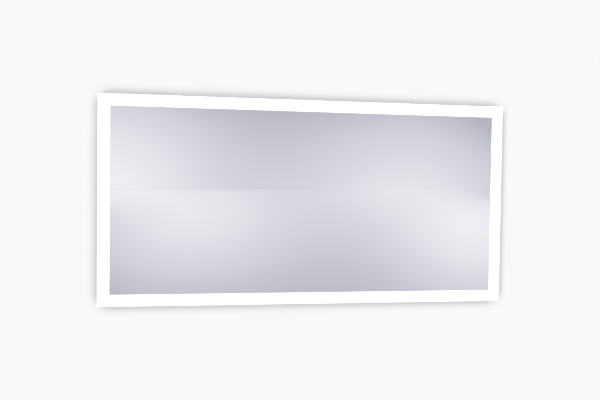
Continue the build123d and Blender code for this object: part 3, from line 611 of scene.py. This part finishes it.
marks = bmesh.new()
bar = bmesh.ops.create_cube(marks, size=1.0)["verts"]
bmesh.ops.scale(marks, vec=(*bar_size, mark_sheet), verts=bar)
bmesh.ops.transform(marks, matrix=rocker_face(1), verts=bar)
ring_section = (
    (ring_inner, -mark_sheet / 2),
    (ring_outer, -mark_sheet / 2),
    (ring_outer, mark_sheet / 2),
    (ring_inner, mark_sheet / 2),
)
turn(marks, ring_section, (0.0, 0.0, 0.0), (0.0, 0.0, 1.0), ring_steps)
ring = [corner for corner in marks.verts if corner not in bar]
bmesh.ops.transform(marks, matrix=rocker_face(-1), verts=ring)
bmesh.ops.recalc_face_normals(marks, faces=marks.faces[:])
rocker_marks = keep("rocker_marks", marks, smooth=False)
mark_fill = moulded("mark_fill", mark_grey, mark_worn, switch_gloss, switch_spark, switch_depth)
rocker_marks.data.materials.append(mark_fill.material)
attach(rocker_marks, "rocker")

# ---------------------------------------------------------------- studio wall and floor
# A smooth white wall behind the mirror and a pale floor below it. The wall is painted darker, a
# painted shade, only where the mirror's edge stands near it, and is open from behind, so that the back
# can be seen.
wall_tone = (0.947, 0.947, 0.947)
shade_reach = 0.045
end_lean = -0.75  # how far the look for shade leans back to the mirror, beside its far end
shade_steps = (
    # how open the corner is, share of the wall's tone
    (0.60, 0.62),
    (0.70, 0.70),
    (0.76, 0.82),
    (0.82, 0.90),
    (0.90, 0.97),
    (1.00, 1.00),
)
floor_drop = 1.75
room_half = 9.0
wall_height = 5.0
floor_tone = (0.93, 0.93, 0.93)
floor_dim = (0.54, 0.545, 0.60)
floor_lit = (0.82, 0.823, 0.855)
floor_cloud = 0.42  # soft patches to the metre
floor_reach = 1.6
floor_steps = ((0.5, 0.8), (0.8, 0.93), (1.0, 1.0))


def sheet(name, corners):
    """A flat four-cornered stage piece."""
    mesh = bmesh.new()
    mesh.faces.new([mesh.verts.new(corner) for corner in corners])
    made = keep(name, mesh, smooth=False)
    return made


def stage_paint(name, seen, shown, one_sided):
    """Plain light: seen is what the camera gets and shown is what other rays get."""
    made = Finish(name)
    made.nodes.remove(made.shader)
    path = made.nodes.new("ShaderNodeLightPath")
    glow = made.nodes.new("ShaderNodeEmission")
    made.plug(glow.inputs["Color"], made.blend(path.outputs["Is Camera Ray"], shown(made), seen(made)))
    surface = glow.outputs["Emission"]
    if one_sided:
        clear = made.nodes.new("ShaderNodeBsdfTransparent")
        which = made.nodes.new("ShaderNodeMixShader")
        back = made.nodes.new("ShaderNodeNewGeometry").outputs["Backfacing"]
        made.links.new(back, which.inputs["Fac"])
        made.links.new(surface, which.inputs[1])
        made.links.new(clear.outputs["BSDF"], which.inputs[2])
        surface = which.outputs["Shader"]
    made.links.new(surface, made.nodes["Material Output"].inputs["Surface"])
    return made


def shaded(tone, reach, steps, lean=0.0):
    """A tone painted darker by steps where something stands within reach, more so where it leans:
    painted shade.
    """

    def build(made):
        hollow = made.nodes.new("ShaderNodeAmbientOcclusion")
        hollow.inputs["Distance"].default_value = reach
        hollow.samples = 24
        if lean:
            parts = made.nodes.new("ShaderNodeSeparateXYZ")
            made.links.new(made.place, parts.inputs["Vector"])
            far_end = cad_box[1][0]
            facing = made.nodes.new("ShaderNodeCombineXYZ")
            turn = made.remap(parts.outputs["X"], far_end - reach, far_end, 0.0, lean)
            made.links.new(turn, facing.inputs["X"])
            facing.inputs["Y"].default_value = -1.0
            made.links.new(facing.outputs["Vector"], hollow.inputs["Normal"])
        fall = made.nodes.new("ShaderNodeValToRGB")
        stops = fall.color_ramp.elements
        while len(stops) < len(steps):
            stops.new(0.5)
        for stop, (openness, share) in zip(stops, steps):
            stop.position = openness
            stop.color = (share, share, share, 1.0)
        made.links.new(hollow.outputs["AO"], fall.inputs["Fac"])
        return made.blend(fall.outputs["Color"], (0.0, 0.0, 0.0), tone)

    return build


def plain(tone):
    """The same tone everywhere."""
    return lambda made: tone


def patchy(dim, lit, scale):
    """Broad soft patches of light, as lamps leave on a floor."""
    return lambda made: made.blend(made.remap(made.noise(scale, 0.0), 0.34, 0.68, 0.0, 1.0), dim, lit)


wall = sheet(
    "studio_wall",
    (
        (-room_half, 0.0, -floor_drop),
        (room_half, 0.0, -floor_drop),
        (room_half, 0.0, wall_height),
        (-room_half, 0.0, wall_height),
    ),
)
wall.data.materials.append(
    stage_paint(
        "wall_paint",
        shaded(wall_tone, shade_reach, shade_steps, end_lean),
        plain(wall_tone),
        True,
    ).material
)
for ray in ("diffuse", "glossy", "transmission", "shadow"):
    setattr(wall, f"visible_{ray}", False)

floor = sheet(
    "studio_floor",
    (
        (-room_half, -room_half, -floor_drop),
        (room_half, -room_half, -floor_drop),
        (room_half, room_half, -floor_drop),
        (-room_half, room_half, -floor_drop),
    ),
)
# As the camera sees it, the floor is painted darker by steps near the mirror, a painted shadow; other
# rays get patches of painted light.
floor.data.materials.append(
    stage_paint(
        "floor_paint",
        shaded(floor_tone, floor_reach, floor_steps),
        patchy(floor_dim, floor_lit, floor_cloud),
        False,
    ).material
)

# ---------------------------------------------------------------- studio in front of the mirror
# What the mirror shows: a pale studio far behind the viewer, with a level joint where its wall
# meets the sweep, broad soft pools of lamp light above and below the joint, and dim corners.
far = -4.0
far_half = 8.0
joint_height = -0.227
joint_slope = 0.013
joint_line = 0.012
dim_wall = 0.30
upper_pools = (
    # strength, x, z, width, height
    (0.555, -1.52, -0.30, 1.42, 1.38),
    (0.53, 1.70, -0.76, 1.67, 1.73),
    (-0.06, 0.60, 0.78, 2.60, 0.30),
    (-0.10, 2.75, 0.70, 0.55, 0.42),
)
lower_pools = (
    (0.45, -0.65, -0.39, 1.30, 0.78),
    (0.43, 2.50, -0.58, 0.94, 0.79),
    (0.60, 1.32, 0.70, 0.96, 1.21),
    (0.215, -1.55, -0.22, 0.67, 0.22),
    (-0.10, 2.70, -0.24, 0.45, 0.09),
    (-0.03, 0.60, -1.42, 2.60, 0.28),
    (-0.05, -1.50, -1.35, 0.35, 0.30),
)
lower_slope = -0.126
least_tone = 0.46
silver_loss = 0.933


def studio_tone(made):
    """The far wall's light: pools above and below the joint, cooler where it is dim."""
    parts = made.nodes.new("ShaderNodeSeparateXYZ")
    made.links.new(made.place, parts.inputs["Vector"])
    x, z = parts.outputs["X"], parts.outputs["Z"]

    def pools(start, table):
        total = start
        for strength, at_x, at_z, width, height in table:
            off_x = made.sum("DIVIDE", made.sum("SUBTRACT", x, at_x), width)
            off_z = made.sum("DIVIDE", made.sum("SUBTRACT", z, at_z), height)
            spread = made.sum(
                "ADD", made.sum("MULTIPLY", off_x, off_x), made.sum("MULTIPLY", off_z, off_z)
            )
            fall = made.sum("POWER", math.e, made.sum("MULTIPLY", spread, -1.0))
            total = made.sum("ADD", total, made.sum("MULTIPLY", fall, strength))
        return total

    joint = made.sum("ADD", made.sum("MULTIPLY", x, joint_slope), joint_height)
    above = made.sum("SUBTRACT", z, joint)
    upper = pools(dim_wall, upper_pools)
    lower = pools(made.sum("ADD", made.sum("MULTIPLY", z, lower_slope), dim_wall), lower_pools)
    share = made.remap(above, -joint_line / 2, joint_line / 2, 0.0, 1.0)
    mixed = made.sum(
        "ADD",
        made.sum("MULTIPLY", upper, share),
        made.sum("MULTIPLY", lower, made.sum("SUBTRACT", 1.0, share)),
    )
    near = made.sum("DIVIDE", above, joint_line)
    line = made.sum("POWER", math.e, made.sum("MULTIPLY", made.sum("MULTIPLY", near, near), -1.0))
    faded = made.sum("MULTIPLY", line, made.remap(x, -0.2, 1.6, 0.03, 0.004))
    value = made.sum("MAXIMUM", made.sum("SUBTRACT", mixed, faded), least_tone)
    value = made.sum("DIVIDE", value, silver_loss)
    cool = made.remap(value, 0.58, 0.9, 1.11, 1.035)
    colour = made.nodes.new("ShaderNodeCombineColor")
    made.links.new(made.sum("MULTIPLY", value, 0.995), colour.inputs["Red"])
    made.links.new(value, colour.inputs["Green"])
    made.links.new(made.sum("MULTIPLY", value, cool), colour.inputs["Blue"])
    return colour.outputs["Color"]


backdrop = sheet(
    "studio_far_wall",
    (
        (far_half, far, -floor_drop),
        (-far_half, far, -floor_drop),
        (-far_half, far, wall_height),
        (far_half, far, wall_height),
    ),
)
backdrop.data.materials.append(
    stage_paint("far_wall_paint", plain(wall_tone), studio_tone, True).material
)

# ---------------------------------------------------------------- studio light
# Even light from all round, with one broad soft lamp high in front and another high behind.
around = 0.62
seen_around = 0.93
world = bpy.data.worlds.new("studio")
bpy.context.scene.world = world
world.use_nodes = True
world_nodes, world_links = world.node_tree.nodes, world.node_tree.links
sky = world_nodes["Background"]
rays = world_nodes.new("ShaderNodeLightPath")
either = world_nodes.new("ShaderNodeMath")
either.operation = "MAXIMUM"
world_links.new(rays.outputs["Is Camera Ray"], either.inputs[0])
world_links.new(rays.outputs["Is Transmission Ray"], either.inputs[1])
level = world_nodes.new("ShaderNodeMapRange")
world_links.new(either.outputs["Value"], level.inputs["Value"])
level.inputs["To Min"].default_value = around
level.inputs["To Max"].default_value = seen_around
sky.inputs["Color"].default_value = (1.0, 1.0, 1.0, 1.0)
world_links.new(level.outputs["Result"], sky.inputs["Strength"])

lamps = (
    # name, place, aims at, size, power
    ("front_lamp", (-1.6, -2.6, 2.4), (0.0, 0.0, -0.25), 1.6, 42.0),
    ("side_lamp", (3.0, -1.2, 1.4), (0.0, 0.0, -0.25), 1.2, 26.0),
    ("rear_lamp", (-2.2, 2.4, 1.8), (0.0, 0.0, -0.25), 1.6, 46.0),
)
for name, place, target, size, power in lamps:
    lamp = bpy.data.lights.new(name, "AREA")
    lamp.shape = "DISK"
    lamp.size = size
    lamp.energy = power
    holder = bpy.data.objects.new(name, lamp)
    bpy.context.scene.collection.objects.link(holder)
    holder.location = place
    holder.rotation_euler = (Vector(target) - Vector(place)).to_track_quat("-Z", "Y").to_euler()

bpy.context.scene.view_settings.view_transform = "Standard"
